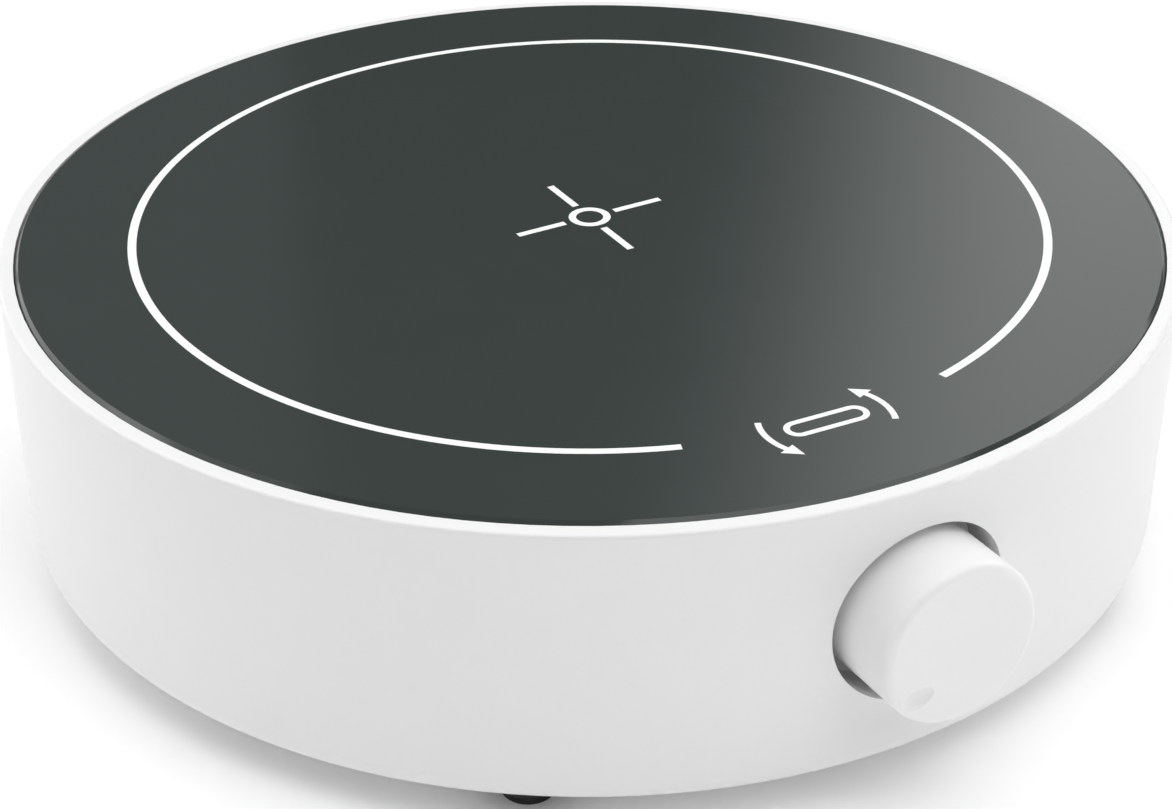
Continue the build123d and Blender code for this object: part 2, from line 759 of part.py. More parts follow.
with BuildPart() as inlet_pin:
    with BuildSketch(rear_plane(inlet_bore_y)):
        Circle(inlet_pin_diameter / 2)
    extrude(amount=inlet_bore_depth - inlet_pin_setback)
    fillet(inlet_pin.edges().sort_by(Axis.Y)[-1], inlet_pin_edge)
pieces["inlet_pin"] = inlet_pin

pieces["inlet_washer"] = ring(
    rear_plane(inlet_inner_y - washer_thickness), washer_diameter / 2, inlet_barrel_r + thread_gap,
    washer_thickness,
)
pieces["inlet_nut"] = hex_nut(
    rear_plane(inlet_inner_y - washer_thickness - nut_thickness),
    inlet_nut_across_flats,
    inlet_barrel_r + thread_gap,
    nut_thickness,
)
with BuildPart() as inlet_tags:
    with BuildSketch(rear_plane(inlet_tail_y)):
        with Locations((-tag_spread, 0), (tag_spread, 0)):
            Rectangle(tag_size[0], tag_size[2])
    extrude(amount=-tag_size[1])
pieces["inlet_tags"] = inlet_tags

# ---------------------------------------------------------------- motor
boss_r = motor_bush_r + motor_boss_wall
screw_row = [(0, -motor_screw_spread / 2), (0, motor_screw_spread / 2)]
with BuildPart() as motor_can:
    with BuildSketch(Plane.XY.offset(can_bottom_z)):
        Circle(motor_r)
    extrude(amount=motor_top_z - can_bottom_z)
    fillet(motor_can.edges().group_by(Axis.Z)[-1], motor_edge_radius)
    with BuildSketch(Plane.XY.offset(can_bottom_z)):
        Circle(motor_r - motor_skin)
    extrude(amount=can_roof_z - can_bottom_z, mode=Mode.SUBTRACT)
    with BuildSketch(Plane.XY.offset(motor_top_z)):
        Circle(boss_r)
    extrude(amount=motor_boss_height)
    with BuildSketch(Plane.XY.offset(can_roof_z)):
        Circle(motor_bush_r)
        with Locations(*screw_row):
            Circle(motor_screw[0] + pilot_slack)
    extrude(amount=motor_skin + motor_boss_height, mode=Mode.SUBTRACT)
pieces["motor_can"] = motor_can

lower_bush_z = motor_bottom_z + motor_skin
terminal_z = can_bottom_z - terminal_drop - terminal_size[2] / 2
terminal_y = terminal_root - motor_r + end_cap_step - terminal_size[1] / 2
terminal_places = [(-terminal_spread, terminal_y), (terminal_spread, terminal_y)]
with BuildPart() as motor_end_cap:
    with BuildSketch(Plane.XY.offset(motor_bottom_z)):
        Circle(motor_r - end_cap_step)
    extrude(amount=end_cap_thickness)
    with BuildSketch(Plane.XY.offset(can_bottom_z)):
        Circle(boss_r)
    extrude(amount=lower_bush_z + motor_bush_length - can_bottom_z)
    with BuildSketch(Plane.XY.offset(lower_bush_z)):
        Circle(motor_bush_r)
    extrude(amount=motor_bush_length, mode=Mode.SUBTRACT)
    with BuildSketch(Plane.XY.offset(terminal_z)):
        with Locations(*terminal_places):
            Rectangle(terminal_size[0], terminal_size[1])
    extrude(amount=terminal_size[2], mode=Mode.SUBTRACT)
pieces["motor_end_cap"] = motor_end_cap

bush_bore_r = motor_shaft_r + motor_shaft_gap
pieces["upper_bush"] = ring(
    Plane.XY.offset(motor_boss_z - motor_bush_length), motor_bush_r, bush_bore_r, motor_bush_length
)
pieces["lower_bush"] = ring(Plane.XY.offset(lower_bush_z), motor_bush_r, bush_bore_r, motor_bush_length)

field_outer_r = motor_r - motor_skin - field_glue
field_inner_r = field_outer_r - field_thickness
field_z = can_roof_z - field_height
with BuildPart() as field_magnets:
    with BuildSketch(Plane.XY.offset(field_z)):
        Circle(field_outer_r)
        Circle(field_inner_r, mode=Mode.SUBTRACT)
        Rectangle(2 * motor_r, 2 * field_inner_r * sin(radians(field_slot_angle / 2)), mode=Mode.SUBTRACT)
    extrude(amount=field_height)
pieces["field_magnets"] = field_magnets

core_r = field_inner_r - field_air_gap
tooth_length = core_r - core_shoe_thickness / 2
half_pole = 180 / pole_count
shoe_gap = 2 * core_r * sin(radians(half_pole - core_shoe_angle / 2))
core_z = field_z + (field_height - core_height) / 2
winding_height = core_height + 2 * winding_overhang
winding_centre_r = (winding_span[0] + winding_span[1]) / 2
with BuildPart() as armature_core:
    with BuildSketch(Plane.XY.offset(core_z)):
        Circle(core_hub_radius)
        with PolarLocations(tooth_length / 2, pole_count):
            Rectangle(tooth_length, core_tooth_width)
        Circle(core_r)
        Circle(core_r - core_shoe_thickness, mode=Mode.SUBTRACT)
        Circle(core_hub_radius)
        with PolarLocations(tooth_length / 2, pole_count):
            Rectangle(tooth_length, core_tooth_width)
        with PolarLocations(core_r, pole_count, start_angle=half_pole):
            Rectangle(core_r, shoe_gap, mode=Mode.SUBTRACT)
        Circle(motor_shaft_r, mode=Mode.SUBTRACT)
    extrude(amount=core_height)
pieces["armature_core"] = armature_core

with BuildPart() as armature_windings:
    with BuildSketch(Plane.XY.offset(core_z - winding_overhang)):
        with PolarLocations(winding_centre_r, pole_count):
            Rectangle(winding_span[1] - winding_span[0], winding_width)
    extrude(amount=winding_height)
    with BuildSketch(Plane.XY.offset(core_z - winding_gap)):
        with PolarLocations(winding_centre_r, pole_count):
            Rectangle(2 * (winding_span[1] - winding_span[0]), core_tooth_width + 2 * winding_gap)
    extrude(amount=core_height + 2 * winding_gap, mode=Mode.SUBTRACT)
pieces["armature_windings"] = armature_windings

commutator_z = lower_bush_z + motor_bush_length + commutator_lift
pieces["commutator"] = ring(
    Plane.XY.offset(commutator_z), commutator_diameter / 2, motor_shaft_r, commutator_height
)

brush_reach = commutator_diameter / 2 + brush_gap + brush_size[0] / 2
with BuildPart() as motor_brushes:
    with BuildSketch(Plane.XY.offset(commutator_z + (commutator_height - brush_size[2]) / 2)):
        with Locations((-brush_reach, 0), (brush_reach, 0)):
            Rectangle(brush_size[0], brush_size[1])
    extrude(amount=brush_size[2])
pieces["motor_brushes"] = motor_brushes

with BuildPart() as motor_terminals:
    with BuildSketch(Plane.XY.offset(terminal_z)):
        with Locations(*terminal_places):
            Rectangle(terminal_size[0], terminal_size[1])
    extrude(amount=terminal_size[2])
pieces["motor_terminals"] = motor_terminals

# ---------------------------------------------------------------- bracket and its fixings
bracket_length = bracket_screw_spread + 2 * bracket_end_margin
with BuildPart() as motor_bracket:
    with BuildSketch(Plane.XY.offset(motor_top_z)):
        RectangleRounded(bracket_length, bracket_neck, bracket_corner_radius)
        Circle(bracket_width / 2)
        Circle(boss_r + motor_boss_gap, mode=Mode.SUBTRACT)
        with Locations(*screw_row):
            Circle(motor_screw[0] + motor_screw_slack, mode=Mode.SUBTRACT)
        with Locations(*post_places):
            Circle(grommet_neck_diameter / 2 + grommet_slack, mode=Mode.SUBTRACT)
    extrude(amount=bracket_thickness)
pieces["motor_bracket"] = motor_bracket

pieces["motor_screws"] = pan_screws(
    screw_row, bracket_top_z, motor_screw, bracket_thickness + motor_screw_bite, True
)

for grommet_name, place in zip(("grommet_left", "grommet_right"), post_places):
    with BuildPart() as grommet:
        with BuildSketch(Plane.XY.offset(post_top_z)):
            with Locations(place):
                Circle(grommet_flange_diameter / 2)
        extrude(amount=grommet_flange_thickness)
        with BuildSketch(Plane.XY.offset(motor_top_z)):
            with Locations(place):
                Circle(grommet_neck_diameter / 2)
        extrude(amount=bracket_thickness)
        with BuildSketch(Plane.XY.offset(bracket_top_z)):
            with Locations(place):
                Circle(grommet_flange_diameter / 2)
        extrude(amount=grommet_flange_thickness)
        with BuildSketch(Plane.XY.offset(post_top_z)):
            with Locations(place):
                Circle(bracket_screw[0] + screw_slack)
        extrude(amount=bracket_thickness + 2 * grommet_flange_thickness, mode=Mode.SUBTRACT)
    pieces[grommet_name] = grommet

grommet_top_z = bracket_top_z + grommet_flange_thickness
pieces["bracket_screws"] = pan_screws(
    post_places, grommet_top_z, bracket_screw, grommet_top_z - post_top_z + screw_bite, True
)

# ---------------------------------------------------------------- rotor
magnet_places = {"drive_magnet_north": -magnet_spread / 2, "drive_magnet_south": magnet_spread / 2}
magnet_r = magnet_diameter / 2
hub_r = holder_hub_diameter / 2
collar_r = magnet_r + magnet_slack + holder_collar_wall
grub_z = (holder_top_z + hub_top_z) / 2
with BuildPart() as magnet_holder:
    with BuildSketch(Plane.XY.offset(holder_bottom_z)):
        Circle(holder_diameter / 2)
    extrude(amount=holder_thickness)
    with BuildSketch(Plane.XY.offset(hub_bottom_z)):
        Circle(hub_r)
    extrude(amount=hub_top_z - hub_bottom_z)
    with BuildSketch(Plane.XY.offset(holder_top_z)):
        with Locations(*[(x, 0) for x in magnet_places.values()]):
            Circle(collar_r)
    extrude(amount=holder_collar_height)
    with BuildSketch(Plane.XY.offset(magnet_bottom_z)):
        with Locations(*[(x, 0) for x in magnet_places.values()]):
            Circle(magnet_r + magnet_slack)
    extrude(amount=magnet_height, mode=Mode.SUBTRACT)
    with BuildSketch(Plane.XY.offset(hub_bottom_z)):
        Circle(motor_shaft_r)
    extrude(amount=hub_top_z - hub_bottom_z, mode=Mode.SUBTRACT)
    with BuildSketch(rear_plane(0, grub_z)):
        Circle(grub_diameter / 2 + pilot_slack)
    extrude(amount=hub_r, mode=Mode.SUBTRACT)
pieces["magnet_holder"] = magnet_holder

for magnet_name, x in magnet_places.items():
    with BuildPart() as magnet:
        with BuildSketch(Plane.XY.offset(magnet_bottom_z)):
            with Locations((x, 0)):
                Circle(magnet_r)
        extrude(amount=magnet_height)
        chamfer(magnet.edges().group_by(Axis.Z)[-1], magnet_edge)
    pieces[magnet_name] = magnet

with BuildPart() as keeper_plate:
    with BuildSketch(Plane.XY.offset(holder_bottom_z - keeper_thickness)):
        SlotCenterToCenter(magnet_spread, keeper_width)
        Circle(hub_r + keeper_slack, mode=Mode.SUBTRACT)
    extrude(amount=keeper_thickness)
pieces["keeper_plate"] = keeper_plate

with BuildPart() as rotor_shaft:
    with BuildSketch(Plane.XY.offset(lower_bush_z)):
        Circle(motor_shaft_r)
    extrude(amount=hub_top_z - lower_bush_z)
pieces["rotor_shaft"] = rotor_shaft

with BuildPart() as grub_screw:
    with BuildSketch(rear_plane(motor_shaft_r + grub_tip_gap, grub_z)):
        Circle(grub_diameter / 2)
    extrude(amount=hub_r - grub_end_gap - motor_shaft_r - grub_tip_gap)
pieces["grub_screw"] = grub_screw

# ---------------------------------------------------------------- leads and their clip
pieces["inlet_lead_red"] = lead(jack_lead_outer)
pieces["inlet_lead_black"] = lead(jack_lead_inner)
pieces["motor_lead_red"] = lead(motor_lead_left)
pieces["motor_lead_black"] = lead(motor_lead_right)

clipped = [Vector(*route[step]) for route in (jack_lead_outer, jack_lead_inner) for step in clip_steps]
clip_centre = sum(clipped, Vector()) / len(clipped)
clip_run = clipped[1] - clipped[0] + clipped[3] - clipped[2]
clip_plane = Plane(origin=(clip_centre.X, clip_centre.Y, floor_z), x_dir=(-clip_run.Y, clip_run.X, 0))
with BuildPart() as lead_clip:
    with BuildSketch(clip_plane):
        Rectangle(clip_size[0], clip_size[1])
    extrude(amount=clip_size[2])
    with BuildSketch(clip_plane):
        Rectangle(clip_size[0] - 2 * clip_wall, 2 * clip_size[1])
    extrude(amount=clip_size[2] - clip_roof, mode=Mode.SUBTRACT)
pieces["lead_clip"] = lead_clip

# ---------------------------------------------------------------- one STEP file for each piece
os.makedirs("parts", exist_ok=True)
for piece_name, piece in pieces.items():
    piece.part.label = piece_name
    export_step(piece.part, "parts/" + piece_name + ".step")
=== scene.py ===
"""Looks for a slim magnetic stirrer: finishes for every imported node, the printed glass and the studio."""
import json
import logging
import math
from dataclasses import dataclass, field
from enum import Enum

import bmesh
import bpy
from mathutils import Matrix, Vector


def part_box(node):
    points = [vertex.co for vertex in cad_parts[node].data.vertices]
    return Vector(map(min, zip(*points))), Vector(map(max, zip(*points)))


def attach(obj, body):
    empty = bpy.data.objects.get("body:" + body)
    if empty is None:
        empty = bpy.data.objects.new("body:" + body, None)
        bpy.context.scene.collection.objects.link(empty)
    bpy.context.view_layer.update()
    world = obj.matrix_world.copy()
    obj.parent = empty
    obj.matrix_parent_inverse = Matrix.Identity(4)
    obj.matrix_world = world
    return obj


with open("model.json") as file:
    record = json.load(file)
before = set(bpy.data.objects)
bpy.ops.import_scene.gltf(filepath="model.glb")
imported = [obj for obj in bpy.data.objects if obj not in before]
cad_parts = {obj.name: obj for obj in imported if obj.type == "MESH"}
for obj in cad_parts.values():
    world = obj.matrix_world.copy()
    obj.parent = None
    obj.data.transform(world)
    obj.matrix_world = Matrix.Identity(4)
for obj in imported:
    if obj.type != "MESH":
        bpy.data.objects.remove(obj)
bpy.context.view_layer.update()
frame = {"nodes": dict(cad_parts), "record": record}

log = logging.getLogger("stirrer")

MM = 0.001
HALF_TURN = 180
FULL_TURN = 360
# A wave texture of scale 1 has 20 / (2 pi) bands in a metre
WAVE_SCALE = 2 * math.pi / 20
WAVE_DISTORTION = 0.4
NOISE_ROUGHNESS = 0.55
# Brushed scratches are this much finer across than along
BRUSH_STRETCH = 0.06
PATCH_DETAIL = 3.0
PATCH_ROUGHNESS = 0.6
# How much of the variation in colour and gloss comes from the relief, the rest from the patches
RELIEF_SHARE = 0.5
# Noise stays near its middle, so these bounds use the whole gloss range
NOISE_LOW = 0.3
NOISE_HIGH = 0.7
# The mix node's colour sockets share their names with its number sockets, so they go by index
MIX_COLOUR_A = 6
MIX_COLOUR_B = 7
MIX_COLOUR_RESULT = 2
# The sRGB curve: a straight part near black, then a power
SRGB_KNEE = 0.04045
SRGB_SLOPE = 12.92
SRGB_OFFSET = 0.055
SRGB_POWER = 2.4
CHANNEL_MAX = 255


def linear(hex_colour: str) -> tuple[float, float, float, float]:
    """Turns an sRGB hex colour into a linear RGBA value.

    Args:
        hex_colour: six hex digits, such as "dddddd".

    Returns:
        The linear red, green, blue and an alpha of one.
    """
    channels = [int(hex_colour[start : start + 2], 16) / CHANNEL_MAX for start in (0, 2, 4)]
    red, green, blue = (
        c / SRGB_SLOPE if c <= SRGB_KNEE else ((c + SRGB_OFFSET) / (1 + SRGB_OFFSET)) ** SRGB_POWER
        for c in channels
    )
    return (red, green, blue, 1.0)


def add_node(
    tree: bpy.types.NodeTree,
    kind: str,
    settings: dict[str, object] | None = None,
    links: dict[str, bpy.types.NodeSocket] | None = None,
) -> bpy.types.Node:
    """Adds one node with its settings and the links into it.

    Args:
        tree: the node tree to add to.
        kind: the node's type name.
        settings: attribute names or input socket names, with their values.
        links: input socket names, with the output sockets that feed them.

    Returns:
        The new node.
    """
    node = tree.nodes.new(kind)
    for name, value in (settings or {}).items():
        if hasattr(node, name):
            setattr(node, name, value)
        else:
            node.inputs[name].default_value = value
    for name, source in (links or {}).items():
        tree.links.new(source, node.inputs[name])
    return node


class Surface(Enum):
    """How a surface was made, which decides the pattern of its relief."""

    SPARKED = "fine pits left by a spark-eroded mould"
    POLISHED = "smooth, with a faint haze of wiping"
    GRAINED = "pressed or sintered grains"
    CELLS = "open foam cells"
    BRUSHED = "fine scratches drawn one way"
    LAYERS = "stacked sheets"
    TURNS = "turns of wire side by side"


# How many octaves of noise each relief has
NOISE_DETAIL = {Surface.SPARKED: 3.0, Surface.POLISHED: 2.0, Surface.GRAINED: 5.0, Surface.BRUSHED: 4.0}


@dataclass(frozen=True)
class Finish:
    """One real material with the surface its making gave it.

    Colours are sRGB hex. Pitches and depths are in millimetres.
    """

    name: str
    tint: str
    shade: str
    surface: Surface
    pitch: float
    depth: float
    roughness: tuple[float, float]
    metallic: float = 0.0
    ior: float = 1.5
    coat: float = 0.0
    patch: float = 9.0

    def relief(self, tree: bpy.types.NodeTree, place: bpy.types.NodeSocket) -> bpy.types.NodeSocket:
        """Builds the pattern that stands for the surface's relief.

        Args:
            tree: the material's node tree.
            place: the point on the piece, in metres.

        Returns:
            A height from 0 to 1.
        """
        per_metre = 1 / (self.pitch * MM)
        if self.surface in (Surface.LAYERS, Surface.TURNS):
            wave = add_node(
                tree,
                "ShaderNodeTexWave",
                {
                    "bands_direction": "Z",
                    "Scale": per_metre * WAVE_SCALE,
                    "Distortion": WAVE_DISTORTION,
                },
                {"Vector": place},
            )
            return wave.outputs["Fac"]
        if self.surface is Surface.CELLS:
            cells = add_node(tree, "ShaderNodeTexVoronoi", {"Scale": per_metre}, {"Vector": place})
            return cells.outputs["Distance"]
        if self.surface is Surface.BRUSHED:
            stretched = add_node(
                tree, "ShaderNodeMapping", {"Scale": (1.0, 1.0, BRUSH_STRETCH)}, {"Vector": place}
            )
            place = stretched.outputs["Vector"]
        noise = add_node(
            tree,
            "ShaderNodeTexNoise",
            {
                "Scale": per_metre,
                "Detail": NOISE_DETAIL[self.surface],
                "Roughness": NOISE_ROUGHNESS,
            },
            {"Vector": place},
        )
        return noise.outputs["Fac"]

    def material(self) -> bpy.types.Material:
        """Makes the Blender material.

        Returns:
            A material whose colour, roughness and bump all vary over the surface.
        """
        made = bpy.data.materials.new(self.name)
        made.use_nodes = True
        tree = made.node_tree
        tree.nodes.clear()
        place = add_node(tree, "ShaderNodeTexCoord").outputs["Object"]
        height = self.relief(tree, place)
        # Broad, faint patches: handling, mould flow and uneven batches
        patches = add_node(
            tree,
            "ShaderNodeTexNoise",
            {
                "Scale": 1 / (self.patch * MM),
                "Detail": PATCH_DETAIL,
                "Roughness": PATCH_ROUGHNESS,
            },
            {"Vector": place},
        )
        spread = add_node(
            tree,
            "ShaderNodeMix",
            {"data_type": "FLOAT", "blend_type": "MIX", "Factor": RELIEF_SHARE},
            {"A": patches.outputs["Fac"], "B": height},
        )
        colour = add_node(
            tree,
            "ShaderNodeMix",
            {"data_type": "RGBA"},
            {"Factor": spread.outputs["Result"]},
        )
        colour.inputs[MIX_COLOUR_A].default_value = linear(self.shade)
        colour.inputs[MIX_COLOUR_B].default_value = linear(self.tint)
        gloss = add_node(
            tree,
            "ShaderNodeMapRange",
            {
                "From Min": NOISE_LOW,
                "From Max": NOISE_HIGH,
                "To Min": self.roughness[0],
                "To Max": self.roughness[1],
            },
            {"Value": spread.outputs["Result"]},
        )
        bump = add_node(
            tree,
            "ShaderNodeBump",
            {"Strength": 1.0, "Distance": self.depth * MM},
            {"Height": height},
        )
        shader = add_node(
            tree,
            "ShaderNodeBsdfPrincipled",
            {"Metallic": self.metallic, "IOR": self.ior, "Coat Weight": self.coat},
            {
                "Base Color": colour.outputs[MIX_COLOUR_RESULT],
                "Roughness": gloss.outputs["Result"],
                "Normal": bump.outputs["Normal"],
            },
        )
        add_node(tree, "ShaderNodeOutputMaterial", {}, {"Surface": shader.outputs["BSDF"]})
        return made


# Moulded white ABS from a spark-eroded mould: a soft, even satin that holds a broad highlight.  The
# real pits are 0.05 mm across, too fine to show, so they are drawn at 0.3 mm.
HOUSING_ABS = Finish(
    "white ABS, moulded satin", "f4f4f4", "efefef",
    Surface.SPARKED, 0.3, 0.004, (0.34, 0.42), ior=1.53
)
# The knob's ABS comes from a smoother mould: a little glossier, so its edge catches a thin bright line.
KNOB_ABS = Finish(
    "white ABS, moulded smooth", "f6f6f6", "f2f2f2",
    Surface.SPARKED, 0.3, 0.003, (0.30, 0.37), ior=1.53
)
# The unseen cover has a coarser mould texture: duller, with no clear highlight.
COVER_ABS = Finish(
    "white ABS, moulded coarse", "e9e9e8", "e2e2e1",
    Surface.SPARKED, 0.45, 0.02, (0.5, 0.6), ior=1.53
)
# Float glass over dark ceramic enamel: deep green-grey under a hard clear reflection, faintly hazed
# by wiping.
ENAMELLED_GLASS = Finish(
    "toughened glass, enamelled", "3d4442", "3b4240",
    Surface.POLISHED, 14.0, 0.0006, (0.10, 0.14), ior=1.52
)
# Ceramic ink pushed through a screen: flat white with a faint mesh mottle.  The mesh is 0.08 mm,
# drawn at 0.35 mm.
SCREEN_INK = Finish(
    "ceramic ink, screen-printed", "fbfcfb", "f4f6f4",
    Surface.GRAINED, 0.35, 0.004, (0.42, 0.55), patch=3.0
)
# Nitrile rubber, moulded: near black, soft broad sheen, slightly dusty.
FOOT_RUBBER = Finish(
    "nitrile rubber, moulded", "1c1c1c", "131313",
    Surface.GRAINED, 0.5, 0.02, (0.55, 0.72), patch=4.0
)
# Acrylic foam tape, slit: black open cells that swallow light in the gap round the glass.
FOAM_TAPE = Finish(
    "acrylic foam tape, slit", "161616", "0d0d0d", Surface.CELLS, 0.5, 0.05, (0.8, 0.95)
)
# Zinc-plated steel, pressed: bluish grey with cloudy plating.
ZINC_STEEL = Finish(
    "zinc-plated steel, pressed", "b9bdc1", "a3a7ab",
    Surface.GRAINED, 0.6, 0.004, (0.28, 0.42), 1.0, patch=3.0
)
# Bright nickel over steel: warm mirror with a light haze.
NICKEL = Finish(
    "nickel plate, bright", "cfccc4", "c2beb5",
    Surface.POLISHED, 2.0, 0.001, (0.10, 0.2), 1.0, patch=4.0
)
# Sintered bronze: open brown-gold grains holding oil.
BRONZE = Finish(
    "bronze, sintered", "a87a47", "8a6037", Surface.GRAINED, 0.25, 0.02, (0.35, 0.5), 1.0, patch=1.5
)
# Pressed ferrite: charcoal grains, almost no shine.
FERRITE = Finish(
    "ferrite, pressed", "35363a", "28292c", Surface.GRAINED, 0.3, 0.015, (0.5, 0.65), patch=2.0
)
# Stacked silicon-steel sheets: fine level lines round the core.
LAMINATIONS = Finish(
    "silicon steel, stacked", "8d9094", "6d7074",
    Surface.LAYERS, 0.5, 0.05, (0.35, 0.5), 1.0, patch=3.0
)
# Enamelled copper wire, wound: amber-red turns side by side.
COPPER = Finish(
    "copper wire, enamelled", "b4622f", "8c4419",
    Surface.TURNS, 0.25, 0.08, (0.2, 0.32), 0.8, coat=0.5
)
# Natural nylon, moulded: milky, slightly waxy.
NYLON = Finish(
    "nylon, moulded", "e6e2d4", "dcd7c6", Surface.SPARKED, 0.4, 0.008, (0.38, 0.5), patch=3.0
)
# Carbon brush: matt black dust.
CARBON = Finish(
    "carbon, pressed", "1a1a1b", "101011", Surface.GRAINED, 0.2, 0.02, (0.6, 0.75), patch=1.0
)
# Tin-plated brass: pale, soft metal of solder tags.
TINNED = Finish(
    "brass, tin-plated", "d0cbbd", "bfb9a9",
    Surface.GRAINED, 0.4, 0.005, (0.3, 0.42), 1.0, patch=2.0
)
# Turned brass: yellow with tool lines along the cut.
BRASS = Finish(
    "brass, turned", "cda45a", "b98f48", Surface.BRUSHED, 0.2, 0.006, (0.2, 0.32), 1.0, patch=3.0
)
# Black nylon and polycarbonate mouldings: deep black, dull sheen.
BLACK_PLASTIC = Finish(
    "black polycarbonate, moulded", "191919", "121212",
    Surface.SPARKED, 0.35, 0.008, (0.4, 0.5), patch=4.0
)
# Glass-epoxy board under green solder mask: glossy, with the weave just showing through.
SOLDER_MASK = Finish(
    "glass epoxy, solder-masked", "14532d", "0f4223",
    Surface.GRAINED, 0.6, 0.006, (0.22, 0.34), coat=0.4
)
# PVC lead sheath, extruded: even and slightly glossy.
RED_PVC = Finish(
    "PVC sheath, red", "a81d16", "961811", Surface.BRUSHED, 0.4, 0.006, (0.3, 0.4), patch=5.0
)
BLACK_PVC = Finish(
    "PVC sheath, black", "181818", "111111", Surface.BRUSHED, 0.4, 0.006, (0.3, 0.4), patch=5.0
)
# Phenolic paper, punched: brown with paper fibre.
PHENOLIC = Finish(
    "phenolic paper, punched", "5a3820", "462a17", Surface.GRAINED, 0.3, 0.01, (0.45, 0.6)
)
# Drawn aluminium: pale grey, fine lines along the draw.
ALUMINIUM = Finish(
    "aluminium, drawn", "cfd2d4", "bdc0c3",
    Surface.BRUSHED, 0.25, 0.004, (0.25, 0.38), 1.0, patch=4.0
)

# Polyester label film, satin: silver-white and smoother than the cover round it.
LABEL_FILM = Finish(
    "polyester film, satin", "dfe1e2", "d6d8d9", Surface.POLISHED, 3.0, 0.002, (0.3, 0.4), patch=5.0
)
# Thermal-transfer ink: flat dark grey with small voids.  They are 0.05 mm wide, drawn at 0.3 mm.
LABEL_INK = Finish(
    "resin ink, transfer-printed", "2b2b2b", "212121", Surface.GRAINED, 0.3, 0.002, (0.5, 0.65)
)

SLOT_FINISH: dict[str, Finish] = {
    "white_abs": HOUSING_ABS,
    "cover_abs": COVER_ABS,
    "knob_abs": KNOB_ABS,
    "dark_glass": ENAMELLED_GLASS,
    "foam_tape": FOAM_TAPE,
    "black_rubber": FOOT_RUBBER,
    "zinc_steel": ZINC_STEEL,
    "nickel_steel": NICKEL,
    "sintered_bronze": BRONZE,
    "ferrite": FERRITE,
    "laminated_steel": LAMINATIONS,
    "copper_wire": COPPER,
    "nylon": NYLON,
    "carbon": CARBON,
    "tinned_brass": TINNED,
    "turned_brass": BRASS,
    "black_plastic": BLACK_PLASTIC,
    "circuit_laminate": SOLDER_MASK,
    "red_pvc": RED_PVC,
    "black_pvc": BLACK_PVC,
    "phenolic": PHENOLIC,
    "bare_aluminium": ALUMINIUM,
}


@dataclass
class Wardrobe:
    """Keeps one Blender material for each finish, so that nodes share it."""

    made: dict[str, bpy.types.Material] = field(default_factory=dict)

    def get(self, finish: Finish) -> bpy.types.Material:
        """Finds a finish's material, making it the first time.

        Args:
            finish: the finish wanted.

        Returns:
            The one material that stands for it.
        """
        if finish.name not in self.made:
            self.made[finish.name] = finish.material()
        return self.made[finish.name]

    def dress(self, piece: bpy.types.Object, finish: Finish) -> None:
        """Puts a finish on every material slot of a piece.

        Args:
            piece: the mesh object to dress.
            finish: the finish it gets.
        """
        material = self.get(finish)
        if not piece.material_slots:
            piece.data.materials.append(material)
        for slot in piece.material_slots:
            slot.material = material

    def dress_packed_nodes(self) -> None:
        """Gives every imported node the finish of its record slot."""
        for row in frame["record"]["subparts"]:
            self.dress(frame["nodes"][row["node"]], SLOT_FINISH[row["material_slot"]])


def new_piece(name: str, shape: bmesh.types.BMesh) -> bpy.types.Object:
    """Turns a bmesh into a scene object.

    Args:
        name: the piece's name.
        shape: the mesh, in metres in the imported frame; it is freed.

    Returns:
        The linked object.
    """
    bmesh.ops.recalc_face_normals(shape, faces=shape.faces)
    mesh = bpy.data.meshes.new(name)
    shape.to_mesh(mesh)
    shape.free()
    piece = bpy.data.objects.new(name, mesh)
    bpy.context.scene.collection.objects.link(piece)
    return piece


def arc(radius: float, start: float, end: float, steps: int) -> list[tuple[float, float]]:
    """Finds points along an arc about the origin.

    Args:
        radius: the arc's radius in millimetres.
        start: where it starts, in degrees from -Y towards +X.
        end: where it ends, measured the same way.
        steps: how many equal steps it is cut into.

    Returns:
        The points from start to end, in millimetres.
    """
    turns = [math.radians(start + (end - start) * i / steps) for i in range(steps + 1)]
    return [(radius * math.sin(t), -radius * math.cos(t)) for t in turns]


def capsule(half_length: float, radius: float, steps: int) -> list[tuple[float, float]]:
    """Finds points round a capsule that lies along X.

    Args:
        half_length: from the middle to the centre of each round end, in millimetres.
        radius: of the round ends, in millimetres.
        steps: how many steps each round end is cut into.

    Returns:
        The points in order, in millimetres.
    """
    right = [(half_length + x, y) for x, y in arc(radius, 0, HALF_TURN, steps)]
    left = [(x - half_length, y) for x, y in arc(radius, HALF_TURN, FULL_TURN, steps)]
    return right + left


